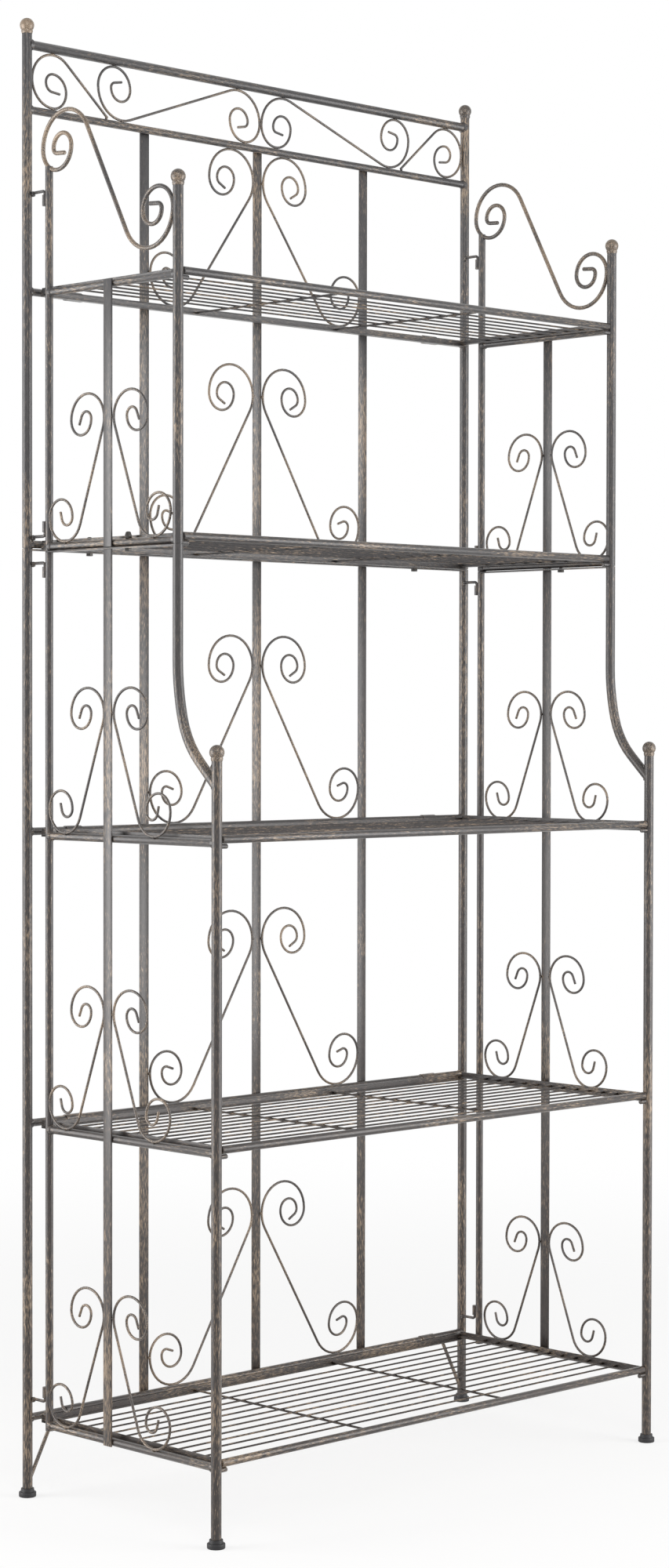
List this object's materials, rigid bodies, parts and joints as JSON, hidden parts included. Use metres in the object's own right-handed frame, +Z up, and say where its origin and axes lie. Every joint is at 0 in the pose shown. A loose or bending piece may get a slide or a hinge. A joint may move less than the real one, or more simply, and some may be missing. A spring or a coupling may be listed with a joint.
{
  "type": "plant rack",
  "caption": "Tall folding rack of dark painted steel tube with wire shelves, scrolled back and side panels, a curved shoulder and ball finials, for potted plants.",
  "frame": {"origin": "on the floor, in the middle of the footprint", "axes": "+X to the right along the width, -Y to the front, +Z up"},
  "size_m": [0.8386, 0.3794, 1.8995],
  "materials": {
    "painted_steel": "satin, antique bronze rub over charcoal",
    "foot_plastic": "matte",
    "dark_bolt_steel": "dark satin"
  },
  "bodies": {
    "back_panel": {"back_upper_posts": "painted_steel", "back_lower_posts": "painted_steel", "back_finials": "painted_steel", "back_feet": "foot_plastic", "back_spigots": "painted_steel", "back_upper_rails": "painted_steel", "back_lower_rails": "painted_steel", "back_straps": "painted_steel", "back_scrolls": "painted_steel", "frieze_scrolls": "painted_steel", "back_braces": "painted_steel", "hinge_hooks": "painted_steel", "back_joint_bolts": "dark_bolt_steel"},
    "left_panel": {"left_rear_posts": "painted_steel", "left_front_posts": "painted_steel", "left_shoulder": "painted_steel", "left_finials": "painted_steel", "left_foot": "foot_plastic", "left_spigots": "painted_steel", "left_rails": "painted_steel", "left_straps": "painted_steel", "left_scrolls": "painted_steel", "left_crest": "painted_steel", "left_hinge_sleeves": "painted_steel", "left_shelf_pegs": "painted_steel", "left_joint_bolt": "dark_bolt_steel"},
    "right_panel": {"right_rear_posts": "painted_steel", "right_front_posts": "painted_steel", "right_shoulder": "painted_steel", "right_finials": "painted_steel", "right_foot": "foot_plastic", "right_spigots": "painted_steel", "right_rails": "painted_steel", "right_straps": "painted_steel", "right_scrolls": "painted_steel", "right_crest": "painted_steel", "right_hinge_sleeves": "painted_steel", "right_shelf_pegs": "painted_steel", "right_joint_bolt": "dark_bolt_steel"},
    "shelf_1": {"shelf_1_front_tube": "painted_steel", "shelf_1_frame": "painted_steel", "shelf_1_grille": "painted_steel", "shelf_1_hinge_loops": "painted_steel"},
    "shelf_2": {"shelf_2_front_tube": "painted_steel", "shelf_2_frame": "painted_steel", "shelf_2_grille": "painted_steel", "shelf_2_hinge_loops": "painted_steel"},
    "shelf_3": {"shelf_3_front_tube": "painted_steel", "shelf_3_frame": "painted_steel", "shelf_3_grille": "painted_steel", "shelf_3_hinge_loops": "painted_steel"},
    "shelf_4": {"shelf_4_front_tube": "painted_steel", "shelf_4_frame": "painted_steel", "shelf_4_grille": "painted_steel", "shelf_4_hinge_loops": "painted_steel"},
    "shelf_5": {"shelf_5_front_tube": "painted_steel", "shelf_5_frame": "painted_steel", "shelf_5_grille": "painted_steel", "shelf_5_hinge_loops": "painted_steel"}
  },
  "joints": [
    {"name": "left_panel_swing", "type": "hinge", "parent": "back_panel", "child": "left_panel", "pos_m": [-0.4035, 0.148, 0.665], "axis": [0, 0, -1], "range_deg": [0, 110]},
    {"name": "right_panel_swing", "type": "hinge", "parent": "back_panel", "child": "right_panel", "pos_m": [0.4035, 0.148, 0.665], "axis": [0, 0, 1], "range_deg": [0, 110]},
    {"name": "shelf_1_fold", "type": "hinge", "parent": "back_panel", "child": "shelf_1", "pos_m": [0, 0.1785, 1.551], "axis": [-1, 0, 0], "range_deg": [0, 85]},
    {"name": "shelf_2_fold", "type": "hinge", "parent": "back_panel", "child": "shelf_2", "pos_m": [0, 0.1785, 1.228], "axis": [-1, 0, 0], "range_deg": [0, 60]},
    {"name": "shelf_3_fold", "type": "hinge", "parent": "back_panel", "child": "shelf_3", "pos_m": [0, 0.1785, 0.859], "axis": [-1, 0, 0], "range_deg": [0, 80]},
    {"name": "shelf_4_fold", "type": "hinge", "parent": "back_panel", "child": "shelf_4", "pos_m": [0, 0.1785, 0.483], "axis": [-1, 0, 0], "range_deg": [0, 85]},
    {"name": "shelf_5_fold", "type": "hinge", "parent": "back_panel", "child": "shelf_5", "pos_m": [0, 0.1785, 0.102], "axis": [-1, 0, 0], "range_deg": [0, 85]}
  ]
}
